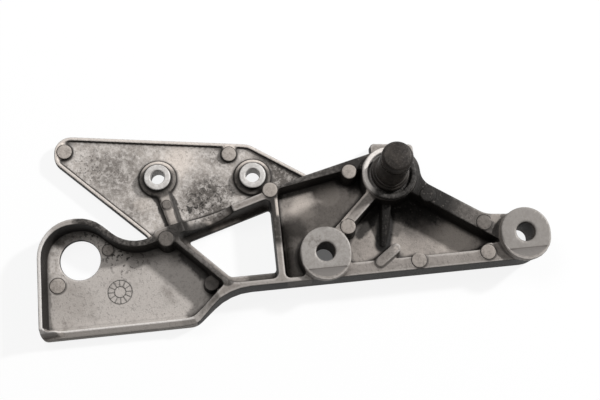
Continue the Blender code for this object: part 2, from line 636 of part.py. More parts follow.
def build_ribs(casting):
    """Ribs, spring finger, nub and footpeg lug."""
    widen = -(RIB - EMBED) * math.tan(RIB_DRAFT)
    ends = ((LONG_RIB_X, LONG_RIB_Y, LONG_RIB_R), (PIN_X, PIN_Y, LONG_RIB_R))
    join(casting, bar("long_rib", *ends, [(EMBED, widen), (RIB, 0.0)]))
    ends = ((GUSSET_X, GUSSET_Y, GUSSET_R), (PIN_X, PIN_Y, GUSSET_ROOT_R))
    gusset = bar("gusset", *ends, [(EMBED, widen), (GUSSET_FOOT, 0.0)])
    join(casting, slope(gusset, GUSSET_Y, GUSSET_FOOT, PIN_Y - GUSSET_RISE_END, LAND))
    ends = ((FINGER_X, FINGER_Y, FINGER_R), (FINGER_END_X, FINGER_END_Y, FINGER_R))
    finger = bar("finger", *ends, [(EMBED, widen), (FINGER_FOOT, 0.0)])
    join(casting, slope(finger, FINGER_Y, FINGER_FOOT, FINGER_END_Y, FINGER))
    ends = ((NUB_X, NUB_Y, NUB_R), (NUB_END_X, NUB_END_Y, NUB_R))
    join(casting, bar("nub", *ends, [(EMBED, widen), (NUB, 0.0)]))
    lug = [(LUG_LEFT, LUG_FOOT, 0.0), (LUG_RIGHT, LUG_FOOT, 0.0), (LUG_RIGHT, LUG_TOP - LUG_FALL, LUG_R),
           (LUG_LEFT, LUG_TOP, LUG_R)]
    join(casting, drafted("peg_lug", lug, [(EMBED, 0.0), (LUG, FIT_GAP)]))


def build_pads(casting):
    """Flat discs and columns that the die's ejector pins leave."""
    for name, x, y, level, radius in PADS:
        foot = radius + (level - EMBED) * math.tan(INNER_DRAFT)
        join(casting, turned(name, x, y, [(foot, EMBED), (radius, level + PAD_STEP)], SMALL_SEGMENTS))


def build_bores(casting):
    """Bolt holes, screw holes, the silencer opening and the pin's seat."""
    for name, x in (("front_bore", 0.0), ("rear_bore", BOLT_PITCH)):
        profile = [(BOLT_NECK_R, -OVERRUN), (BOLT_NECK_R, BOLT_NECK), (BOLT_BORE_R, BOLT_NECK), (BOLT_BORE_R, CUT_TOP)]
        cut(casting, turned(name, x, 0.0, profile))
    through = (-OVERRUN, CUT_TOP)
    for index, (x, y) in enumerate(cylinder_bolts()):
        profile = [(CYLINDER_BORE_R, height) for height in through]
        cut(casting, turned("cylinder_bore_%d" % (index + 1), x, y, profile, SMALL_SEGMENTS))
    profile = [(SILENCER_BORE_R, height) for height in through]
    cut(casting, turned("silencer_bore", SILENCER_X, SILENCER_Y, profile))
    bore = PIN_SHANK_R + FIT_GAP
    recess = SEAT - PIN_RECESS
    profile = [(bore, PIN_SHANK_FOOT - FIT_GAP), (bore, recess), (PIN_RECESS_R, recess), (PIN_RECESS_R, CUT_TOP)]
    cut(casting, turned("pin_bore", PIN_X, PIN_Y, profile))


def build_pin(steel):
    """Stepped pivot pin with a clip groove, turned in one piece."""
    seat = SEAT - PIN_RECESS + FIT_GAP
    collar = seat + PIN_COLLAR
    groove = PIN_TIP - CLIP_GROOVE_FROM_TIP
    profile = [(PIN_SHANK_R - PIN_SHANK_BEVEL, PIN_SHANK_FOOT),
               (PIN_SHANK_R, PIN_SHANK_FOOT + PIN_SHANK_BEVEL),
               (PIN_SHANK_R, seat),
               (PIN_COLLAR_R, seat),
               (PIN_COLLAR_R, collar - PIN_COLLAR_BEVEL),
               (PIN_COLLAR_R - PIN_COLLAR_BEVEL, collar),
               (PIN_R, collar),
               (PIN_R, groove - CLIP_GROOVE),
               (CLIP_GROOVE_R, groove - CLIP_GROOVE),
               (CLIP_GROOVE_R, groove),
               (PIN_R, groove),
               (PIN_R, PIN_TIP - PIN_TIP_BEVEL),
               (PIN_TIP_R, PIN_TIP)]
    pin = shown(turned("pivot_pin", PIN_X, PIN_Y, profile, PIN_SEGMENTS), steel)
    pin.data.shade_smooth()
    pin.data.set_sharp_from_angle(angle=SHARP)


for old in list(bpy.data.objects):
    bpy.data.objects.remove(old)

datum = bpy.data.objects.new("outer_face_datum", None)
bpy.context.scene.collection.objects.link(datum)
datum.location = (0.0, 0.0, -SEAT)

aluminium = finish("cast_aluminium", (0.44, 0.42, 0.40), 0.8, 0.5)
dark_steel = finish("dark_steel", (0.09, 0.08, 0.07), 0.9, 0.45)

hanger = shown(drafted("hanger_casting", SILHOUETTE, wall_levels(LAND)), aluminium)
build_plate(hanger)
build_arm(hanger)
cut(hanger, drafted("body_pocket", body_pocket(), pocket_levels(BODY_FLOOR, LAND)))
cut(hanger, drafted("window_recess", window_recess(), pocket_levels(BODY_FLOOR, LAND)))
cut(hanger, drafted("window", window(), [(-OVERRUN, 0.0), (CUT_TOP, 0.0)]))
build_saddle(hanger)
build_well(hanger)
build_bosses(hanger)
build_ribs(hanger)
build_pads(hanger)
build_bores(hanger)
build_pin(dark_steel)
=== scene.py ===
# %% [markdown]
# # A die-cast footrest hanger
#
# The object is the bracket that carries a rider's foot on a motorcycle: one aluminium die casting,
# seen on its ribbed inner side, with a dark steel pin that a brake pedal turns on. The CAD part
# already has every wall, boss and pocket at its right size. What it lacks is what makes a casting
# look cast: round fillets where walls meet, soft edges, pits, stains and old grease. This lesson
# adds those, and leaves the CAD part where it is.

import math

import bmesh
import bpy
import numpy as np
import openvdb
from mathutils import Matrix, Vector


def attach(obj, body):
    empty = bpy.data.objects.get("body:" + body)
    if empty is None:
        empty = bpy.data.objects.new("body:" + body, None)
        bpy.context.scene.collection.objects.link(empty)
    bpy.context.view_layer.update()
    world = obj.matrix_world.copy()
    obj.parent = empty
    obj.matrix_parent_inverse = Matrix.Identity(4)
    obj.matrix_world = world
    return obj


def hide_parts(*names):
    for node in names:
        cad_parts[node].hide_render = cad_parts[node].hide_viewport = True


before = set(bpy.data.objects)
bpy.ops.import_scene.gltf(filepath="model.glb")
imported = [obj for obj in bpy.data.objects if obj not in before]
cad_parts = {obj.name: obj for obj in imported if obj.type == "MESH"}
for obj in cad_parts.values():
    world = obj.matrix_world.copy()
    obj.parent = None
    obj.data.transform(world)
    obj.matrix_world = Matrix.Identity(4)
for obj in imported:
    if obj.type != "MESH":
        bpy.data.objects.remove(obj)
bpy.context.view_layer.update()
casting_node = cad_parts["hanger_casting"]

# %% [markdown]
# ## Sizes
#
# Everything is in metres, and heights are measured from the plane of the two machined boss seats,
# which is the part's own zero. The outer face, on which the part lies, is 20 mm below it. The die's
# ejectors left a round pad at each of the places in the list.

# %% Levels and places that several steps use
MM = 0.001
OUTER_FACE = -20 * MM
LAND = -4 * MM
ARM_FLOOR = -16.8 * MM
PLATE_RIM = -13.4 * MM
TALL = -11 * MM
LOW = -14.3 * MM
FRONT_BOSS = (0.0, 0.0)
REAR_BOSS = (104.2 * MM, 0.0)
FRAME_BOSSES = (FRONT_BOSS, REAR_BOSS)
BOSS_R = 13.0 * MM
BOLT_R = 4.9 * MM
MACHINED_EDGE = -8.4 * MM
CYLINDER_BOSSES = ((-82.9 * MM, 50.2 * MM), (-33.04 * MM, 46.45 * MM))
CYLINDER_BOSS_R = 6.7 * MM
CYLINDER_FACE = -10.0 * MM
SCREW_R = 3.7 * MM
PIN_AT = (38.0 * MM, 38.0 * MM)
PIN_BORE_R = 7.3 * MM
PIN_BORE_FLOOR = -17.3 * MM
RECESS_R = 11.3 * MM
RECESS_FLOOR = -1.6 * MM
ABOVE_ALL = 10.0 * MM

# x, y, level, radius and how light the pad is; x, y and radius in millimetres
PADS = (
    (-80.4, 15.3, LAND, 4.0, 0.12), (-24.9, 35.9, LAND, 4.0, 0.40), (17.3, 41.6, LAND, 4.0, 0.40),
    (13.3, 12.4, LAND, 4.0, 0.33), (56.6, 25.4, LAND, 4.0, 0.11), (84.1, 7.6, LAND, 4.0, 0.15),
    (47.6, -8.7, LAND, 4.0, 0.32), (83.9, -8.0, LAND, 4.0, 0.30), (-59.3, -8.8, -10 * MM, 4.0, 0.09),
    (-130.7, 69.6, PLATE_RIM, 4.0, 0.38), (-44.4, 60.1, PLATE_RIM, 4.0, 0.36),
    (-79.4, 35.5, PLATE_RIM, 2.4, 0.24), (-138.5, -1.1, ARM_FLOOR, 4.0, 0.36),
    (-111.6, 15.1, ARM_FLOOR, 3.0, 0.26))

# %% [markdown]
# ## From sharp CAD faces to a casting
#
# A casting has no sharp inside corners: metal flows round every rib, and the die is filleted. One
# way is to bevel hundreds of edges. A level set is simpler: a grid of voxels that stores how far
# each one is from the surface, negative inside. Blurring that grid rounds every edge and fills
# every corner at once, as a fillet does.

# %% Turn the CAD casting into a level set
VOXEL = 0.42 * MM
BAND = 8


def triangles(node):
    mesh = node.data
    mesh.calc_loop_triangles()
    points = np.empty(len(mesh.vertices) * 3, np.float32)
    mesh.vertices.foreach_get("co", points)
    corners = np.empty(len(mesh.loop_triangles) * 3, np.int32)
    mesh.loop_triangles.foreach_get("vertices", corners)
    return points.reshape(-1, 3), corners.reshape(-1, 3).astype(np.uint32)


points, corners = triangles(casting_node)
spacing = openvdb.createLinearTransform(voxelSize=VOXEL)
level_set = openvdb.FloatGrid.createLevelSetFromPolygons(
    points, triangles=corners, transform=spacing, halfWidth=float(BAND))
low, high = level_set.evalActiveVoxelBoundingBox()
size = tuple(b - a + 1 for a, b in zip(low, high))
cad_distance = np.empty(size, np.float32)
level_set.copyToArray(cad_distance, ijk=low)
grid_x, grid_y, grid_z = (
    ((np.arange(size[axis]) + low[axis]) * VOXEL).astype(np.float32).reshape(
        [-1 if axis == other else 1 for other in range(3)])
    for axis in range(3))
print("voxels", size)


# %% [markdown]
# ## Blur, distance formulas and how they combine
#
# The union of two shapes is the smaller of their distances, and a cut is the larger of one distance
# and the other's negative. A Gaussian blur along each axis in turn is the same as a round one.

# %% Helpers for distances
def blurred(field, radius):
    """A Gaussian blur, one axis after the other."""
    sigma = radius / VOXEL
    reach = int(math.ceil(3 * sigma))
    weights = np.exp(-0.5 * (np.arange(-reach, reach + 1) / sigma) ** 2)
    weights = (weights / weights.sum()).astype(np.float32)
    for axis in range(field.ndim):
        margins = [(reach, reach) if axis == other else (0, 0) for other in range(field.ndim)]
        padded = np.pad(field, margins, mode="edge")
        total = np.zeros_like(field)
        for shift, weight in enumerate(weights):
            window = [slice(None)] * field.ndim
            window[axis] = slice(shift, shift + field.shape[axis])
            total += weight * padded[tuple(window)]
        field = total
    return field


def from_axis(x, y):
    return np.sqrt((grid_x - x) ** 2 + (grid_y - y) ** 2)


def post(x, y, radius, bottom, top):
    """Distance to an upright cylinder."""
    return np.maximum(from_axis(x, y) - radius, np.maximum(grid_z - top, bottom - grid_z))


# %% [markdown]
# A strong blur fills the inside corners well but melts the outside edges, and a weak one does the
# reverse. The union of the two has the fillets of the first and the edges of the second. The
# machined faces are crisper still, so plain posts put them back.

# %% Fillets from a strong blur, edges from a weak one, then the machined faces
FILLET = 0.95 * MM
SOFT_EDGE = 0.30 * MM
SCREW_BEVEL = 0.4 * MM
BOLT_BEVEL = 0.6 * MM
shape = np.minimum(blurred(cad_distance, FILLET), blurred(cad_distance, SOFT_EDGE))
for x, y in FRAME_BOSSES:
    face = post(x, y, BOSS_R - 0.2 * MM, LAND, 0.0)
    shape = np.minimum(shape, np.maximum(face, MACHINED_EDGE - grid_y))
    shape = np.maximum(shape, -(from_axis(x, y) - BOLT_R - np.clip(grid_z + BOLT_BEVEL, 0.0, None)))
shape = np.maximum(shape, grid_z)
for x, y in CYLINDER_BOSSES:
    shape = np.minimum(shape, post(x, y, CYLINDER_BOSS_R, CYLINDER_FACE - 3.0 * MM, CYLINDER_FACE))
    bevel = np.clip(grid_z - CYLINDER_FACE + SCREW_BEVEL, 0.0, SCREW_BEVEL)
    shape = np.maximum(shape, -(from_axis(x, y) - SCREW_R - bevel))
bore = post(*PIN_AT, PIN_BORE_R, PIN_BORE_FLOOR, ABOVE_ALL)
recess = post(*PIN_AT, RECESS_R, RECESS_FLOOR, ABOVE_ALL)
shape = np.maximum(shape, -np.minimum(bore, recess))
shape = np.maximum(shape, OUTER_FACE - grid_z)
print("rounded", float(shape.min()), float(shape.max()))

# %% [markdown]
# ## The grid becomes a mesh
#
# The surface is where the distance is zero. The paint darkens corners and lightens edges, as dirt
# and wear and as painted shade and painted highlight, so each vertex keeps three numbers about its
# place. In a corner the blurred distance is lower than the distance itself and along an edge it is
# higher: `edge` and `hollow` store that, over a short and a long reach. `inside` tells whether a face
# looks at more of the casting, as a pocket's wall does, or out into the open. `beside` is how much tall
# metal stands close by, and `at_foot` how much of any raised metal touches the place.

# %% Polygons, and what each vertex knows about its place
def sample(field, places):
    """Read a grid between its voxels."""
    at = places[:, :field.ndim] / VOXEL - np.array(low)[:field.ndim]
    base = np.clip(np.floor(at).astype(int), 0, np.array(field.shape) - 2)
    part = np.clip(at - base, 0.0, 1.0).astype(np.float32)
    total = np.zeros(len(places), np.float32)
    for corner in range(2 ** field.ndim):
        step = [(corner >> axis) & 1 for axis in range(field.ndim)]
        shares = [part[:, axis] if step[axis] else 1 - part[:, axis] for axis in range(field.ndim)]
        nearby = field[tuple(base[:, axis] + step[axis] for axis in range(field.ndim))]
        total += np.prod(shares, axis=0) * nearby
    return total


def stands_above(level):
    """1 where some metal is higher than a level, seen from above, else 0."""
    return np.where(grid_z > level, shape < 0, False).any(axis=2).astype(np.float32)


rounded_grid = openvdb.FloatGrid()
rounded_grid.transform = spacing
rounded_grid.copyFromArray(shape, ijk=low)
places, threes, fours = rounded_grid.convertToPolygons(isovalue=0.0, adaptivity=0.02)
places = np.asarray(places, np.float64)
faces = [tuple(int(i) for i in face[::-1]) for polygons in (threes, fours) for face in polygons]
casting_mesh = bpy.data.meshes.new("cast_body")
casting_mesh.from_pydata(places.tolist(), [], faces)
casting_mesh.shade_smooth()
normals = np.empty(len(places) * 3, np.float32)
casting_mesh.vertex_normals.foreach_get("vector", normals)
LOOK_AHEAD = 1.6 * MM
ahead = places + normals.reshape(-1, 3) * LOOK_AHEAD
knowledge = {
    "edge": sample(blurred(shape, 0.8 * MM) - shape, places) / MM,
    "hollow": sample(blurred(shape, 2.4 * MM) - shape, places) / MM,
    "inside": sample((shape < 0).any(axis=2).astype(np.float32), ahead),
    "beside": sample(blurred(stands_above(TALL), 2.4 * MM), places),
    "at_foot": sample(blurred(stands_above(LOW), 0.55 * MM), places),
}
for name, values in knowledge.items():
    layer = casting_mesh.attributes.new(name, 'FLOAT', 'POINT')
    layer.data.foreach_set("value", np.asarray(values, np.float32))
    print(name, "from", round(float(values.min()), 2), "to", round(float(values.max()), 2))
cast_body = bpy.data.objects.new("cast_body", casting_mesh)
bpy.context.scene.collection.objects.link(cast_body)
print("cast body", len(places), "vertices", len(threes) + 2 * len(fours), "triangles")

# %% [markdown]
# ## Shader maths as expressions
#
# Material nodes are easier to read as formulas. A small class wraps an output socket, and its
# operators add the Math node that does the sum.

# %% A socket that can be added, multiplied and compared
class Value:
    """An output socket of a material, with arithmetic."""

    def __init__(self, finish, socket):
        self.finish = finish
        self.socket = socket

    def math(self, operation, *others):
        return self.finish.node("ShaderNodeMath", {"operation": operation}, [self, *others])

    def __add__(self, other):
        return self.math('ADD', other)

    def __radd__(self, other):
        return self.math('ADD', other)

    def __sub__(self, other):
        return self.math('SUBTRACT', other)

    def __rsub__(self, other):
        return self.math('MULTIPLY', -1.0).math('ADD', other)

    def __mul__(self, other):
        return self.math('MULTIPLY', other)

    def __truediv__(self, other):
        return self.math('DIVIDE', other)

    def larger(self, other):
        return self.math('MAXIMUM', other)

    def smaller(self, other):
        return self.math('MINIMUM', other)

    def clamp(self):
        return self.larger(0.0).smaller(1.0)

    def ramp(self, start, end):
        """0 at start, 1 at end, smooth between them; start may be above end."""
        settings = {"interpolation_type": 'SMOOTHSTEP', "clamp": False}
        if start < end:
            return self.finish.node("ShaderNodeMapRange", settings, [self, start, end, 0.0, 1.0])
        return self.finish.node("ShaderNodeMapRange", settings, [self, end, start, 1.0, 0.0])


class Finish:
    """A material that is written as expressions."""

    def __init__(self, name):
        self.material = bpy.data.materials.new(name)
        self.material.use_nodes = True
        self.tree = self.material.node_tree
        self.shader = self.tree.nodes["Principled BSDF"]
        self.place = self.node("ShaderNodeTexCoord", {}, [], output="Object")
        split = self.tree.nodes.new("ShaderNodeSeparateXYZ")
        self.tree.links.new(self.place.socket, split.inputs[0])
        self.x, self.y, self.z = (Value(self, split.outputs[axis]) for axis in range(3))

    def give(self, socket, value):
        """Link a value to a socket, or write a number or a colour on it."""
        if isinstance(value, Value):
            self.tree.links.new(value.socket, socket)
        else:
            socket.default_value = (*value, 1.0) if isinstance(value, tuple) else value

    def node(self, kind, settings, values, output=0):
        """Add a node; values is a list for its first sockets or a dict by name."""
        new = self.tree.nodes.new(kind)
        for key, value in settings.items():
            setattr(new, key, value)
        for slot, value in (values.items() if isinstance(values, dict) else enumerate(values)):
            self.give(new.inputs[slot], value)
        return Value(self, new.outputs[output])

    def noise(self, scale, detail, roughness, distortion=0.0, seed=0.0):
        return self.node("ShaderNodeTexNoise", {"noise_dimensions": '4D'},
                         {"Vector": self.place, "W": seed, "Scale": scale, "Detail": detail,
                          "Roughness": roughness, "Distortion": distortion})

    def attribute(self, name):
        return self.node("ShaderNodeAttribute", {"attribute_name": name}, [], output="Fac")

    def facing(self):
        """How far the surface faces up, from -1 to 1."""
        normal = self.tree.nodes.new("ShaderNodeNewGeometry")
        split = self.tree.nodes.new("ShaderNodeSeparateXYZ")
        self.tree.links.new(normal.outputs["Normal"], split.inputs[0])
        return Value(self, split.outputs[2])

    def near(self, x, y):
        """Distance from an upright axis."""
        dx = self.x - x
        dy = self.y - y
        return (dx * dx + dy * dy).math('SQRT')

    def along(self, x1, y1, x2, y2):
        """Distance from an upright plane that ends at two places."""
        dx = self.x - x1
        dy = self.y - y1
        way_x = x2 - x1
        way_y = y2 - y1
        part = ((dx * way_x + dy * way_y) / (way_x * way_x + way_y * way_y)).clamp()
        off_x = dx - part * way_x
        off_y = dy - part * way_y
        return (off_x * off_x + off_y * off_y).math('SQRT')

    def mix(self, factor, first, second):
        """Blend two colours."""
        new = self.tree.nodes.new("ShaderNodeMix")
        new.data_type = 'RGBA'
        for slot, value in (("Factor_Float", factor), ("A_Color", first), ("B_Color", second)):
            self.give(next(s for s in new.inputs if s.identifier == slot), value)
        return Value(self, next(s for s in new.outputs if s.identifier == "Result_Color"))

    def bump(self, height, distance, strength):
        values = {"Height": height, "Distance": distance, "Strength": strength}
        return self.node("ShaderNodeBump", {}, values, output="Normal")

    def set(self, **inputs):
        """Give the shader its values; an underscore stands for a space."""
        for name, value in inputs.items():
            self.give(self.shader.inputs[name.replace("_", " ")], value)
        return self.material


# %% [markdown]
# ## Old cast aluminium
#
# The casting is grey with a slight warmth. The heel plate is mottled and pitted where the boot and
# road dirt reach it, the pockets' walls are darkened nearly to black, grease and painted shade surround
# the pin, and the edges are lighter with wear and painted highlight. Painted shade also darkens the
# feet of walls and the far sides of ribs and bosses, and painted highlights and reflections lighten
# some
# lands and rims. Each layer is one line: where it is, how strong it is and how light its tone is. The
# helpers take millimetres, so the places read like a drawing.

# %% Noises, and what each vertex knows about its place
cast = Finish("old_cast_aluminium")
edge = cast.attribute("edge")
hollow = cast.attribute("hollow")
inside = cast.attribute("inside")
beside = cast.attribute("beside")
at_foot = cast.attribute("at_foot")
normal_z = cast.facing()
grain = cast.noise(1500.0, 3.0, 0.6)
pebbles = cast.noise(560.0, 5.0, 0.7, seed=3.0)
patches = cast.noise(240.0, 5.0, 0.65, distortion=0.3, seed=7.0)
blotches = cast.noise(90.0, 4.0, 0.6, distortion=0.4, seed=2.0)
clouds = cast.noise(34.0, 3.0, 0.55, seed=1.0)
pits = cast.noise(680.0, 2.0, 0.5, seed=5.0)
wobble = (blotches - 0.5) * (16 * MM) + (patches - 0.5) * (10 * MM)
ragged = pebbles * 0.6 + patches * 0.4


# %% Helpers that draw masks, in millimetres
def by_x(start, end):
    return cast.x.ramp(start * MM, end * MM)


def by_y(start, end):
    return cast.y.ramp(start * MM, end * MM)


def by_height(start, end):
    return cast.z.ramp(start * MM, end * MM)


def disc(x, y, outer, inner):
    """A round place with a clean edge."""
    return cast.near(x * MM, y * MM).ramp(outer * MM, inner * MM)


def strip(x1, y1, x2, y2, outer, inner):
    """A long place between two points, with a clean edge."""
    return cast.along(x1 * MM, y1 * MM, x2 * MM, y2 * MM).ramp(outer * MM, inner * MM)


def spot(x, y, outer, inner):
    """A round place with a ragged, noisy edge."""
    return (cast.near(x * MM, y * MM) + wobble).ramp(outer * MM, inner * MM)


def streak(x1, y1, x2, y2, outer, inner):
    """A long place between two points, also with a ragged edge."""
    distance = cast.along(x1 * MM, y1 * MM, x2 * MM, y2 * MM)
    return (distance + wobble * 0.35).ramp(outer * MM, inner * MM)


def within(value, start, end, soft):
    """1 between two values, 0 outside them."""
    return value.ramp(start - soft, start + soft) * value.ramp(end + soft, end - soft)


def band(value, start, end, soft):
    """The same in millimetres."""
    return within(value, start * MM, end * MM, soft * MM)


def patchy(low, high):
    return ragged.ramp(low, high)


def largest(first, *others):
    for other in others:
        first = first.larger(other)
    return first


def joined(masks, mask):
    """Add one mask to those of earlier rounds of a loop, of which there may be none yet."""
    return mask if masks is None else masks.larger(mask)


# %% A colour that is built up layer by layer
GREEN_LOSS = 0.11
BLUE_LOSS = 0.20


class Paint:
    def __init__(self, finish, colour):
        self.finish = finish
        self.colour = colour

    def blend(self, factor, colour):
        self.colour = self.finish.mix(factor, self.colour, colour)

    def stain_and_painted_light(self, factor, tone, warmth=1.0):
        """Lay one brownish tone over what is there; it draws stains, and also painted shade and painted
        light.
        """
        self.blend(factor, (tone, tone * (1 - GREEN_LOSS * warmth), tone * (1 - BLUE_LOSS * warmth)))


# %% The casting's areas
upward = normal_z.ramp(0.45, 0.85)
steep = normal_z.math('ABSOLUTE').ramp(0.80, 0.45)
on_land = band(cast.z, -4.8, -3.0, 0.2) * upward
on_floor = by_height(-12, -14)
plate_side = (cast.y - cast.x * 0.24 - 37.5 * MM).ramp(-1.0 * MM, 3.0 * MM)
on_plate = by_height(-7, -9) * plate_side * by_x(6, 0)
in_arm = (cast.x + cast.y + 62.0 * MM).ramp(4.0 * MM, -4.0 * MM) * by_height(-6, -9)
from_main = (cast.y - 26.0 * MM) * 0.958 - (cast.x + 45.6 * MM) * 0.287
on_lip = strip(-143, -29, -74, -29, 6.0, 5.0)

# %% The bare skin, and the arm's paler floor
skin = Paint(cast, cast.mix(clouds.ramp(0.3, 0.7), (0.228, 0.203, 0.184), (0.288, 0.261, 0.239)))
stain_and_painted_light = skin.stain_and_painted_light
stain_and_painted_light(patchy(0.46, 0.60) * 0.4, 0.15)
stain_and_painted_light(in_arm * blotches.ramp(0.2, 0.5) * 0.85, 0.49, 0.7)
# Darker floor on the arm: towards its left at (-131, -10), painted shade below its top wall at (-124,
# 27), and partly dirt, partly painted shadow of the diagonal wall at (-100, 12).
stain_and_painted_light(in_arm * spot(-131, -10, 15, 4) * 0.4, 0.27)
stain_and_painted_light(in_arm * spot(-124, 27, 18, 6) * 0.5, 0.25)
stain_and_painted_light(in_arm * spot(-100, 12, 15, 4) * 0.35, 0.20)

# %% The heel plate: pale, with dark clouds, pits and a worn rim
skin.blend(on_plate, cast.mix(patchy(0.40, 0.60), (0.60, 0.560, 0.526), (0.40, 0.362, 0.330)))
# Dark mottling on the plate; the spot at (-18, 47), at the plate's right end, is painted shade from the
# main wall.
mottling_and_shade = largest(
    spot(-106, 55, 27, 2) * 0.85, spot(-58, 38, 21, 4) * 1.25, spot(-50, 61, 13, 1) * 0.75,
    spot(-97, 34, 14, 1) * 0.8, spot(-18, 47, 20, 8) * 1.3, spot(-92, 56, 10, 1) * 0.6)
stain_and_painted_light(on_plate * mottling_and_shade * (patchy(0.38, 0.58) * 0.65 + 0.25), 0.105)
stain_and_painted_light(on_plate * spot(-72, 60, 13, 2) * 0.7, 0.66)
stain_and_painted_light(on_plate * spot(-92, 37, 7, 1) * 0.4, 0.58)
specked = largest(
    spot(-58, 34, 20, 2) * 0.9, spot(-66, 31, 11, 2), spot(-104, 14, 20, 3) * 0.8,
    spot(-118, 27, 16, 4) * 0.7, spot(-120, 60, 20, 4) * 0.35)
stain_and_painted_light(pits.ramp(0.56, 0.60) * (specked * 0.95 + 0.12).clamp() * upward, 0.03)
on_rim = on_plate * band(cast.z, -13.9, -12.9, 0.2) * upward
stain_and_painted_light(on_rim * (0.8 + patchy(0.44, 0.58) * -0.25), 0.80)
stain_and_painted_light(spot(-67.4, 33.2, 2.3, 1.1) * on_plate * 0.9, 0.02)

# %% The body's floor, and painted shade and dirt along the foot of every wall
body_floor = on_floor * band(cast.x, -24, 96, 1) * (1.0 - on_plate)
stain_and_painted_light(body_floor * (patchy(0.6, 0.4) * 0.5 + 0.3), 0.35)
stain_and_painted_light(body_floor * disc(6, 33.2, 7.1, 5.6) * 0.5, 0.45)
stain_and_painted_light(body_floor * spot(-5, 42, 10, 3) * 0.6, 0.06)
# A painted pool of light on the floor at (-8, 27).
stain_and_painted_light(body_floor * spot(-8, 27, 10, 3) * 0.75, 0.52)
# Painted shade and dirt on the ramp down into the well at (-14, 16).
stain_and_painted_light(body_floor * spot(-14, 16, 9, 4) * 0.6, 0.06)
stain_and_painted_light(body_floor * spot(50, 20, 22, 8) * (patchy(0.62, 0.42) * 0.3 + 0.15), 0.08)
# Painted light at (71, 5), lightening the floor where the slope wall's shadow falls.
stain_and_painted_light(body_floor * spot(71, 5, 15, 6) * 0.6, 0.50)
stain_and_painted_light(spot(-14, -2, 9, 6) * by_height(-15, -16.6) * 0.6, 0.06)
# Painted shade and dirt darken the floor next to tall walls.
floor_shade_and_dirt = (beside + (ragged - 0.5) * 0.6).ramp(0.08, 0.50)
floor_shade_and_dirt = floor_shade_and_dirt * on_floor * (1.0 - on_plate * 0.3) * (1.0 - on_lip)
stain_and_painted_light(floor_shade_and_dirt * (0.85 + in_arm * -0.30), 0.040)
stain_and_painted_light(on_plate * within(at_foot, 0.14, 0.80, 0.10) * by_height(-14.0, -14.4) * 0.85, 0.035)

# %% Lands: a painted reflection at the arm's end, and painted highlight and wear on the edges
# A painted reflection of the lamp lightens the land at the arm's left end.
stain_and_painted_light(by_height(-6, -5) * by_x(-136, -142) * 0.9, 0.74, 0.3)
# Painted highlight and wear lighten the edges.
stain_and_painted_light(edge.ramp(0.07, 0.24) * upward.larger(0.35) * 0.5, 0.50, 0.6)
# A painted highlight along the inner edge of the arm's lip.
stain_and_painted_light(on_lip * within(edge, 0.05, 0.5, 0.03) * by_height(-16, -14) * 0.6, 0.75, 0.4)
stain_and_painted_light(on_lip * by_y(-25.6, -26.4) * 0.85, 0.17)
stain_and_painted_light(streak(-143.6, 20, -143.6, -24, 1.8, 0.9) * by_height(-5, -7) * 0.6, 0.10)

# %% Lands: brown and black along the top of the body
top_wall = on_land * streak(-20, 34.5, 26, 48, 9, 7.5)
arm_top = on_land * streak(-120, 27, -90, 13, 8, 5) * 0.95
slope_wall = on_land * streak(46, 31, 84, 9, 9.5, 8) * (by_x(92, 60) * 0.5 + 0.5)
diagonal_land = strip(-75, 15.0, -51, -8.5, 4.0, 3.2) * by_height(-12, -10)
main_left_shade_and_dirt = streak(-74, 21, -62, 18.5, 7.5, 4.5) * (1.0 - on_plate * 0.6)
stain_and_painted_light(top_wall * (patchy(0.36, 0.60) * 0.35 + 0.62), 0.026)
stain_and_painted_light(arm_top * (patchy(0.36, 0.60) * 0.5 + 0.6), 0.030)
stain_and_painted_light(slope_wall * (patchy(0.34, 0.56) * 0.4 + 0.56), 0.030)
stain_and_painted_light(diagonal_land * (patchy(0.40, 0.60) * 0.25 + 0.72), 0.045)
saddle = band(from_main, -0.3, 5.2, 0.3) * band(cast.x, -65, -48, 1.5)
stain_and_painted_light(saddle * by_height(-3.8, -5) * (patchy(0.40, 0.60) * 0.6 + 0.1), 0.16)
stain_and_painted_light(saddle * spot(-58, 21.5, 4.5, 1.5) * 0.7, 0.50)
cross_land = on_land * streak(-23, 32, -23.5, -6, 3.0, 2.2)
stain_and_painted_light(cross_land * by_y(4, 9) * (patchy(0.62, 0.52) * 0.25 + 0.72), 0.036)
stain_and_painted_light(cross_land * band(cast.y, 22, 31, 1) * by_x(-23.4, -22.6) * 0.9, 0.50)

# %% Black walls in the pockets, and the grooves at their feet
well = band(cast.x, -21, -8, 1) * by_y(14, 11)
shade_and_dirt_under_main = band(from_main, -4.2, 0.3, 0.4) * band(cast.x, -74, -26, 0.5)
walls = inside.ramp(0.35, 0.75) * steep * by_height(-3.9, -4.9)
walls = walls * (1.0 - (well * 0.35).larger(on_lip))
foot = (hollow + (ragged - 0.5) * 0.5).ramp(-0.30, -0.95) * (1.0 - on_lip)
groove = edge.ramp(-0.04, -0.18) * by_height(-6, -8) * (1.0 - on_lip)
# Painted shade and dirt in the inside corners at the feet of walls.
stain_and_painted_light((foot * 0.85).clamp(), 0.038)
stain_and_painted_light(groove * 0.8, 0.034)
stain_and_painted_light((walls * 1.15).clamp(), 0.018)
window_tone = cast.mix(patchy(0.42, 0.58), (0.075, 0.062, 0.053), (0.040, 0.033, 0.028))
# Painted shade and dirt on the main wall's face that looks down into the window.
skin.blend(shade_and_dirt_under_main * by_height(-4.6, -5.6) * 0.85, window_tone)
# Painted shadow and dirt round the left end of the main wall.
stain_and_painted_light(main_left_shade_and_dirt * (0.85 + patchy(0.6, 0.4) * 0.15), 0.018)
# Painted shadow and dirt along the foot of the diagonal wall on the arm's floor.
stain_and_painted_light(streak(-72, 7.5, -57, -8.5, 5.2, 2.2) * by_height(-6, -9) * in_arm * 0.9, 0.02)

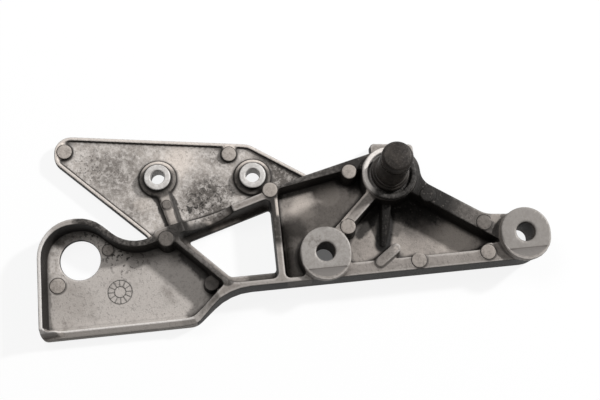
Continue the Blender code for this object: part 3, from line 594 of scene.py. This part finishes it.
# %% Ejector pads: each has its tone, a dark outline and painted shadow below it on the right
ring = None
for x, y, level, radius, tone in PADS:
    from_pad = cast.near(x * MM, y * MM)
    here = within(cast.z, level - 0.4 * MM, level + 1.0 * MM, 0.2 * MM)
    its_disc = from_pad.ramp((radius + 0.05) * MM, (radius - 0.25) * MM) * here
    its_ring = band(from_pad, radius - 0.15, radius + 0.35, 0.15) * here
    lower_right = (cast.x - x * MM) * 0.6 - (cast.y - y * MM) * 0.8
    its_shadow = band(from_pad, radius, radius + 0.9, 0.3) * here * lower_right.ramp(0.0, 3 * MM) * 0.7
    stain_and_painted_light(its_disc * 0.85, tone)
    stain_and_painted_light(its_disc * patchy(0.46, 0.60) * 0.5, tone * 0.45)
    ring = joined(ring, its_ring).larger(its_shadow)
# The pads' dark outlines, with their painted shadows.
stain_and_painted_light(ring * 0.9, 0.032)

# %% Collars round the cylinder bosses, darker towards the bottom, and the plate's rib between them
collars = None
for x, y in CYLINDER_BOSSES:
    from_boss = cast.near(x, y)
    its_collar = from_boss.ramp(11.6 * MM, 9.8 * MM) * from_boss.ramp(6.5 * MM, 6.9 * MM)
    its_collar = its_collar * by_height(-10.1, -10.5)
    lower = ((cast.y - y) + (cast.x - x).math('ABSOLUTE') * -0.35).ramp(6.0 * MM, -2.0 * MM)
    collars = joined(collars, its_collar * (lower * 0.85 + 0.12))
stain_and_painted_light(collars * (0.75 + patchy(0.6, 0.4) * 0.22), 0.026)
rib_sides = streak(-85.3, 42, -80.4, 25, 2.0, 1.0).larger(streak(-77.6, 42, -72.6, 25, 2.2, 1.2))
stain_and_painted_light(rib_sides * by_height(-12.9, -13.6) * by_height(-16.5, -15.8) * 0.9, 0.024)
stain_and_painted_light(streak(-81.5, 43, -76.6, 24, 3.2, 2.4) * band(cast.z, -14, -12.5, 0.2) * 0.55, 0.10)

# %% Feet of the frame bosses, the finger, the gusset and the body's rib
# Painted shade at the lower left foot of each frame boss.
boss_foot_shade = None
for x, y in FRAME_BOSSES:
    its_foot_shade = band(cast.near(x, y), 13.2, 15.2, 0.5) * by_height(-2.6, -3.4)
    its_foot_shade = its_foot_shade * (cast.y - y + (cast.x - x) * 1.2).ramp(8 * MM, -4 * MM)
    boss_foot_shade = joined(boss_foot_shade, its_foot_shade)
stain_and_painted_light(boss_foot_shade * upward * 0.7, 0.05)
off_the_boss = cast.near(*REAR_BOSS).ramp(BOSS_R + 0.1 * MM, BOSS_R + 0.4 * MM)
# Painted shade beside the rear boss's left foot.
stain_and_painted_light(spot(90.6, 2.5, 6.0, 3.0) * upward * off_the_boss * 0.8, 0.04)
stain_and_painted_light(spot(91.0, 8.6, 2.6, 1.2) * upward * off_the_boss * 0.4, 0.45)
from_finger = cast.along(27.6 * MM, -7.6 * MM, 36.2 * MM, -1.6 * MM)
finger_top = from_finger.ramp(2.6 * MM, 2.3 * MM)
finger_left = (cast.y - cast.x * 0.7 + 26 * MM).ramp(0.2 * MM, 1.4 * MM)
# Painted shading on the finger: shade round its foot and on the left of its top, and a painted
# highlight at its right end.
stain_and_painted_light(band(from_finger, 2.3, 3.5, 0.3) * by_height(-2.6, -3.4) * 0.8, 0.06)
stain_and_painted_light(finger_top * finger_left * 0.6, 0.12)
stain_and_painted_light(spot(36.2, -1.0, 2.6, 1.0) * finger_top * 0.8, 0.52)
from_gusset = cast.along(37.5 * MM, 26 * MM, 31.8 * MM, 3.5 * MM)
# Painted shadow darkens the gusset's flanks and the floor at its foot.
stain_and_painted_light(from_gusset.ramp(5.5 * MM, 3.4 * MM) * by_height(-2.5, -3.5), 0.010)
stain_and_painted_light(from_gusset.ramp(1.5 * MM, 0.9 * MM) * upward * patchy(0.48, 0.62) * 0.5, 0.12)
stain_and_painted_light(streak(33, 24, 20, 10, 3.4, 1.8) * by_height(-4.6, -5.4) * 0.9, 0.02)
# A painted highlight along the left edge of the rib from the pin boss.
stain_and_painted_light(strip(29.5, 34, 11, 16.5, 1.3, 0.7) * band(cast.z, -5.6, -3, 0.3) * 0.75, 0.55)

# %% Grease and painted shade round the pin, a painted highlight on its boss, and painted light on the outer sides
pin_x = cast.x - PIN_AT[0]
pin_y = cast.y - PIN_AT[1]
from_pin = cast.near(*PIN_AT)
shaded_greasy_side = (pin_x - pin_y * 0.5 + wobble * 0.3).ramp(-10 * MM, -3 * MM)
on_pin_boss = from_pin.ramp(15 * MM, 14.4 * MM) * by_height(-3.2, -2.2)
in_recess = from_pin.ramp(11.6 * MM, 11.3 * MM) * by_height(-0.3, -0.8)
# The pin boss's rim is painted light as a painted highlight; its right and lower side is then darkened
# with grease and painted shade.
stain_and_painted_light(on_pin_boss * 0.9, 0.80, 0.6)
off_the_pad = cast.near(17.3 * MM, 41.6 * MM).ramp(3.5 * MM, 4.2 * MM)
# Grease and painted shade darken the floor near the pin, and its recess.
grease_and_shade = largest(
    spot(52, 29, 27, 12), spot(60, 22, 15, 6), spot(20, 43, 11, 5) * off_the_pad * 0.85,
    spot(38, 20, 14, 9) * 0.6 * by_height(-5, -7), spot(31, 27, 5, 2) * 0.6)
grease_and_shade = grease_and_shade * (1.0 - on_pin_boss) * (1.0 - by_y(48, 50) * 0.8)
grease_and_shade = largest(grease_and_shade, on_pin_boss * shaded_greasy_side, in_recess * 0.85)
grease_and_shade = grease_and_shade.larger(on_pin_boss * from_pin.ramp(12.1 * MM, 11.7 * MM) * 0.7)
stain_and_painted_light(grease_and_shade * (0.93 + patchy(0.58, 0.42) * 0.07), 0.016)
# Painted glints on the grease.
stain_and_painted_light(grease_and_shade * pits.ramp(0.60, 0.68) * upward * 0.3, 0.22)
stain_and_painted_light((grain - 0.5).ramp(0.02, 0.22) * 0.35, 0.06)
# The outer sides are painted lighter, standing in for light bounced up from the sheet.
sheet_lit_outer_side = band(cast.z, -20.2, -12.5, 0.8) * steep * (1.0 - inside.ramp(0.3, 0.6))
stain_and_painted_light(sheet_lit_outer_side * (1.0 - on_plate) * 0.8, 0.44)

# %% Machined faces: where they are
machined = None
for x, y in FRAME_BOSSES:
    face = cast.near(x, y).ramp(BOSS_R + 0.1 * MM, BOSS_R - 0.15 * MM) * by_height(-0.9, -0.6)
    machined = joined(machined, face)
bright = None
for x, y in CYLINDER_BOSSES:
    face = cast.near(x, y).ramp(7.1 * MM, 6.8 * MM) * band(cast.z, -10.5, -9, 0.1)
    face = face.larger(cast.near(x, y).ramp(4.3 * MM, 4.0 * MM) * 0.7)
    bright = joined(bright, face)
shaded_bolt_walls = cast.near(*FRONT_BOSS).smaller(cast.near(*REAR_BOSS)).ramp(5.3 * MM, 5.0 * MM)

# %% Machined faces: their colours
worn_and_shaded = Paint(cast, cast.mix(patchy(0.42, 0.58), (0.33, 0.309, 0.290), (0.265, 0.244, 0.227)))
worn_and_shaded.blend(spot(-5, 4, 7, 2) * patchy(0.5, 0.6) * 0.7, (0.14, 0.122, 0.109))
worn_and_shaded.blend(by_x(60, 90) * 0.55, (0.205, 0.188, 0.174))
worn_and_shaded.blend(cast.y.ramp(MACHINED_EDGE + 0.1 * MM, MACHINED_EDGE - 0.1 * MM), (0.205, 0.189, 0.177))
# A painted shadow line along the step where the machined face ends.
step_shadow_line = within(cast.y, MACHINED_EDGE - 0.35 * MM, MACHINED_EDGE + 0.05 * MM, 0.15 * MM)
worn_and_shaded.blend(step_shadow_line * 0.6, (0.10, 0.086, 0.076))
skin.blend(machined, worn_and_shaded.colour)
skin.blend(bright, cast.mix(patchy(0.40, 0.60), (0.60, 0.580, 0.560), (0.45, 0.427, 0.407)))
# The bolt holes' walls are painted dark as painted shade.
skin.blend(shaded_bolt_walls * by_height(-0.3, -0.9) * 0.9, (0.055, 0.043, 0.036))

# %% The finished material
RELIEF_DEPTH = 0.4 * MM
cut = machined.larger(bright)
relief = pebbles * 0.65 + grain * 0.35 + pits.ramp(0.58, 0.66) * -0.35 + ring * -0.8
cast_aluminium = cast.set(
    Base_Color=skin.colour,
    Metallic=0.12,
    Specular_IOR_Level=0.22,
    Roughness=cut * -0.15 + 0.62,
    Normal=cast.bump(relief * (1.0 - cut * 0.8), RELIEF_DEPTH, 0.6))
casting_mesh.materials.append(cast_aluminium)
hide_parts("hanger_casting")
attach(cast_body, "root")
print("casting material", len(cast.tree.nodes), "nodes")

# %% [markdown]
# ## The founder's date dial
#
# On the arm's floor is a small round dial that tells when a die was made. It is a wheel: two rings
# and twelve spokes. A Geometry Nodes tree repeats the spoke, with the sizes as named inputs.

# %% Geometry Nodes: two rings and a circle of spokes
DIAL_SIZES = (
    ("Outer radius", 'NodeSocketFloat', 6.2 * MM),
    ("Inner radius", 'NodeSocketFloat', 2.9 * MM),
    ("Line", 'NodeSocketFloat', 0.42 * MM),
    ("Height", 'NodeSocketFloat', 0.25 * MM),
    ("Spokes", 'NodeSocketInt', 12))


def dial_tree(name):
    tree = bpy.data.node_groups.new(name, 'GeometryNodeTree')
    for label, kind, value in DIAL_SIZES:
        tree.interface.new_socket(label, in_out='INPUT', socket_type=kind).default_value = value
    tree.interface.new_socket("Material", in_out='INPUT', socket_type='NodeSocketMaterial')
    tree.interface.new_socket("Geometry", in_out='OUTPUT', socket_type='NodeSocketGeometry')
    given = tree.nodes.new("NodeGroupInput").outputs
    made = tree.nodes.new("NodeGroupOutput").inputs

    def add(kind, links=(), **settings):
        node = tree.nodes.new(kind)
        for key, value in settings.items():
            setattr(node, key, value)
        for slot, source in links:
            if hasattr(source, "is_output"):
                tree.links.new(source, node.inputs[slot])
            else:
                node.inputs[slot].default_value = source
        return node

    outer = given["Outer radius"]
    inner = given["Inner radius"]
    section = add("GeometryNodeCurvePrimitiveQuadrilateral",
                  [("Width", given["Line"]), ("Height", given["Height"])])
    parts = add("GeometryNodeJoinGeometry")
    for radius in (outer, inner):
        circle = add("GeometryNodeCurvePrimitiveCircle", [("Resolution", 72), ("Radius", radius)])
        solid = add("GeometryNodeCurveToMesh",
                    [("Curve", circle.outputs[0]), ("Profile Curve", section.outputs[0])])
        tree.links.new(solid.outputs[0], parts.inputs[0])
    length = add("ShaderNodeMath", [(0, outer), (1, inner)], operation='SUBTRACT')
    middle = add("ShaderNodeMath", [(0, outer), (1, inner)], operation='ADD')
    half = add("ShaderNodeMath", [(0, middle.outputs[0]), (1, 0.5)], operation='MULTIPLY')
    spoke_size = add("ShaderNodeCombineXYZ",
                     [(0, length.outputs[0]), (1, given["Line"]), (2, given["Height"])])
    spoke = add("GeometryNodeMeshCube", [("Size", spoke_size.outputs[0])])
    circle = add("GeometryNodeCurvePrimitiveCircle",
                 [("Resolution", given["Spokes"]), ("Radius", half.outputs[0])])
    outward = add("GeometryNodeInputPosition")
    turn = add("FunctionNodeAlignRotationToVector", [("Vector", outward.outputs[0])],
               axis='X', pivot_axis='Z')
    spokes = add("GeometryNodeInstanceOnPoints",
                 [("Points", circle.outputs[0]), ("Instance", spoke.outputs[0]),
                  ("Rotation", turn.outputs[0])])
    real = add("GeometryNodeRealizeInstances", [("Geometry", spokes.outputs[0])])
    tree.links.new(real.outputs[0], parts.inputs[0])
    painted = add("GeometryNodeSetMaterial",
                  [("Geometry", parts.outputs[0]), ("Material", given["Material"])])
    tree.links.new(painted.outputs[0], made["Geometry"])
    return tree


# %% The dial's material, and its place on the arm's floor
relief_finish = Finish("dirty_relief")
relief_cloud = relief_finish.noise(300.0, 3.0, 0.6)
relief_colour = relief_finish.mix(relief_cloud, (0.13, 0.120, 0.111), (0.23, 0.216, 0.203))
dirty_relief = relief_finish.set(Base_Color=relief_colour, Metallic=0.1, Roughness=0.7)
DIAL_AT = (-106.7 * MM, -7.4 * MM, ARM_FLOOR + 0.08 * MM)
blank = bpy.data.objects.new("dial_source", bpy.data.meshes.new("dial_source"))
bpy.context.scene.collection.objects.link(blank)
wheel = blank.modifiers.new("dial", 'NODES')
wheel.node_group = dial_tree("founder_dial")
material_input = next(item for item in wheel.node_group.interface.items_tree if item.name == "Material")
wheel[material_input.identifier] = dirty_relief
blank.update_tag()
bpy.context.view_layer.update()
evaluated = blank.evaluated_get(bpy.context.evaluated_depsgraph_get())
dial_mesh = bpy.data.meshes.new_from_object(evaluated)
bpy.data.objects.remove(blank)
dial_mesh.transform(Matrix.Translation(DIAL_AT))
date_dial = bpy.data.objects.new("date_dial", dial_mesh)
bpy.context.scene.collection.objects.link(date_dial)
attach(date_dial, "root")
print("dial", len(dial_mesh.polygons), "faces")

# %% [markdown]
# ## The pivot pin
#
# The pin was turned on a lathe, so half of its outline, spun round its axis, is the whole shape.
# From the bottom up, the outline has the shank, the collar, the bearing, the clip groove and the
# bevelled end.

# %% Spin the pin's outline
PIN_PROFILE = (
    (0.0, -17.0), (6.4, -17.0), (7.0, -16.4), (7.0, -1.3),
    (9.6, -1.3), (9.9, -1.0), (9.9, 2.2), (9.6, 2.6), (9.2, 2.7), (8.9, 2.9), (8.8, 4.4), (8.55, 4.7),
    (8.0, 4.8), (8.0, 8.0), (7.95, 8.1), (7.95, 23.4), (8.0, 23.5), (8.0, 23.6),
    (7.9, 23.7), (7.1, 23.75), (7.1, 25.05), (7.9, 25.1),
    (8.0, 25.2), (8.0, 28.4), (7.85, 28.8), (6.9, 29.75), (6.65, 29.9), (6.3, 30.0), (0.0, 30.0))
SHARP_ANGLE = math.radians(28)


def spin(name, profile, centre, segments):
    """Turn a profile of radii and heights, in millimetres, into a closed body."""
    shape = bmesh.new()
    rings = []
    for radius, height in profile:
        ring = []
        for i in range(segments if radius else 1):
            turn = 2 * math.pi * i / segments
            across = centre[0] + radius * MM * math.cos(turn)
            along = centre[1] + radius * MM * math.sin(turn)
            ring.append(shape.verts.new((across, along, height * MM)))
        rings.append(ring)
    for lower, upper in zip(rings, rings[1:]):
        for i in range(segments):
            j = (i + 1) % segments
            if len(lower) == 1:
                shape.faces.new((lower[0], upper[j], upper[i]))
            elif len(upper) == 1:
                shape.faces.new((lower[i], lower[j], upper[0]))
            else:
                shape.faces.new((lower[i], lower[j], upper[j], upper[i]))
    bmesh.ops.recalc_face_normals(shape, faces=shape.faces[:])
    mesh = bpy.data.meshes.new(name)
    shape.to_mesh(mesh)
    shape.free()
    mesh.shade_smooth()
    mesh.set_sharp_from_angle(angle=SHARP_ANGLE)
    thing = bpy.data.objects.new(name, mesh)
    bpy.context.scene.collection.objects.link(thing)
    return thing


turned_pin = spin("turned_pin", PIN_PROFILE, PIN_AT, 96)
print("pin", len(turned_pin.data.polygons), "faces")

# %% Dark greasy steel
RINGS_PER_METRE = 9000.0
TOOL_MARK_DEPTH = 0.12 * MM
steel = Finish("dark_greasy_steel")
pin_grain = steel.noise(900.0, 4.0, 0.6)
pin_clouds = steel.noise(160.0, 3.0, 0.6, seed=4.0)
rings = (steel.z * RINGS_PER_METRE + pin_clouds * 3.0).math('SINE') * 0.5 + 0.5
tip_face = steel.z.ramp(29.6 * MM, 29.9 * MM)
pin_colour = steel.mix(pin_clouds.ramp(0.35, 0.7), (0.020, 0.0165, 0.014), (0.050, 0.042, 0.036))
pin_colour = steel.mix(tip_face * pin_grain.ramp(0.50, 0.66) * 0.4, pin_colour, (0.09, 0.078, 0.068))
dark_steel = steel.set(
    Base_Color=pin_colour,
    Metallic=0.3,
    Specular_IOR_Level=0.3,
    Roughness=pin_grain * 0.25 + 0.38,
    Normal=steel.bump(rings * 0.3 + pin_grain * (0.5 + tip_face * 1.5), TOOL_MARK_DEPTH, 0.6))
turned_pin.data.materials.append(dark_steel)
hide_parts("pivot_pin")
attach(turned_pin, "root")

# %% [markdown]
# ## Floor, light and camera
#
# The part lies on a sheet that is white to the camera and in reflections, and keeps a faint shadow.
# A broad soft lamp stands above the far left. A small distant one on the right casts the crisp
# shadow that crosses the arm's floor, and a low white world fills the rest. The camera stands
# where the photographer stood: half a metre above the part, looking down and a little forward.

# %% The white sheet, with a grey spot that shows through the front bolt hole
FLOOR_LEVEL = OUTER_FACE - 0.2 * MM
FLOOR_REACH = 3.0
UNDER_FRONT_HOLE = (1.9 * MM, 3.9 * MM, FLOOR_LEVEL)
SPOT_EDGES = (5.0 * MM, 8.0 * MM)
GLOW_IN_SPOT = 0.10
GLOW_ELSEWHERE = 0.88
floor_finish = bpy.data.materials.new("white_sheet")
floor_finish.use_nodes = True
nodes = floor_finish.node_tree.nodes
links = floor_finish.node_tree.links
bounce = nodes["Principled BSDF"]
bounce.inputs["Base Color"].default_value = (0.75, 0.75, 0.75, 1.0)
bounce.inputs["Roughness"].default_value = 0.9
floor_mesh = bpy.data.meshes.new("floor")
floor_mesh.from_pydata(
    [(x * FLOOR_REACH, y * FLOOR_REACH, FLOOR_LEVEL) for x, y in ((-1, -1), (1, -1), (1, 1), (-1, 1))],
    [], [(0, 1, 2, 3)])
floor = bpy.data.objects.new("floor", floor_mesh)
bpy.context.scene.collection.objects.link(floor)
glow = nodes.new("ShaderNodeEmission")
glow.inputs["Strength"].default_value = 1.0
paper = nodes.new("ShaderNodeBsdfDiffuse")
paper.inputs["Color"].default_value = (0.88, 0.88, 0.88, 1.0)
sheet = nodes.new("ShaderNodeMixShader")
whereabouts = nodes.new("ShaderNodeTexCoord")
from_spot = nodes.new("ShaderNodeVectorMath")
from_spot.operation = 'DISTANCE'
from_spot.inputs[1].default_value = UNDER_FRONT_HOLE
links.new(whereabouts.outputs["Object"], from_spot.inputs[0])
shade = nodes.new("ShaderNodeMapRange")
for socket, number in zip(shade.inputs[1:5], (*SPOT_EDGES, GLOW_IN_SPOT, GLOW_ELSEWHERE)):
    socket.default_value = number
links.new(from_spot.outputs["Value"], shade.inputs[0])
links.new(shade.outputs[0], sheet.inputs[0])
links.new(paper.outputs[0], sheet.inputs[1])
links.new(glow.outputs[0], sheet.inputs[2])
rays = nodes.new("ShaderNodeLightPath")
shiny = nodes.new("ShaderNodeMath")
shiny.operation = 'MAXIMUM'
links.new(rays.outputs["Is Glossy Ray"], shiny.inputs[0])
links.new(rays.outputs["Is Transmission Ray"], shiny.inputs[1])
direct = nodes.new("ShaderNodeMath")
direct.operation = 'MAXIMUM'
links.new(rays.outputs["Is Camera Ray"], direct.inputs[0])
links.new(shiny.outputs[0], direct.inputs[1])
seen = nodes.new("ShaderNodeMixShader")
links.new(direct.outputs[0], seen.inputs[0])
links.new(bounce.outputs[0], seen.inputs[1])
links.new(sheet.outputs[0], seen.inputs[2])
links.new(seen.outputs[0], nodes["Material Output"].inputs[0])
floor_mesh.materials.append(floor_finish)

# %% Lamps and world
def lamp(name, place, target, size, watts):
    """A round soft lamp that points at a target."""
    light = bpy.data.lights.new(name, 'AREA')
    light.shape = 'DISK'
    light.size = size
    light.energy = watts
    thing = bpy.data.objects.new(name, light)
    thing.location = place
    thing.rotation_euler = (Vector(target) - Vector(place)).to_track_quat('-Z', 'Y').to_euler()
    bpy.context.scene.collection.objects.link(thing)
    return thing


CENTRE = (-0.01, 0.02, -0.01)
lamp("top_left_softbox", (-0.32, 0.42, 0.75), CENTRE, 0.45, 3.15)
lamp("right_softbox", (1.50, 0.69, 1.13), CENTRE, 0.18, 49.0)
world = bpy.data.worlds.new("studio")
world.use_nodes = True
backdrop = world.node_tree.nodes["Background"]
backdrop.inputs["Color"].default_value = (1.0, 1.0, 1.0, 1.0)
backdrop.inputs["Strength"].default_value = 0.14
bpy.context.scene.world = world
bpy.context.scene.view_settings.view_transform = 'Standard'

# %% The camera
EYE = Vector((-45.744, -96.123, 498.468)) * MM
AHEAD = Vector((0.068929, 0.241009, -0.968072))
RIGHT = Vector((0.993082, -0.109042, 0.043563))
camera_data = bpy.data.cameras.new("camera")
camera_data.lens = 60.0
camera_data.sensor_width = 36.0
camera_data.clip_start = 0.01
camera = bpy.data.objects.new("camera", camera_data)
up = RIGHT.cross(AHEAD)
camera.matrix_world = Matrix.Translation(EYE) @ Matrix((RIGHT, up, -AHEAD)).transposed().to_4x4()
bpy.context.scene.collection.objects.link(camera)
bpy.context.scene.camera = camera
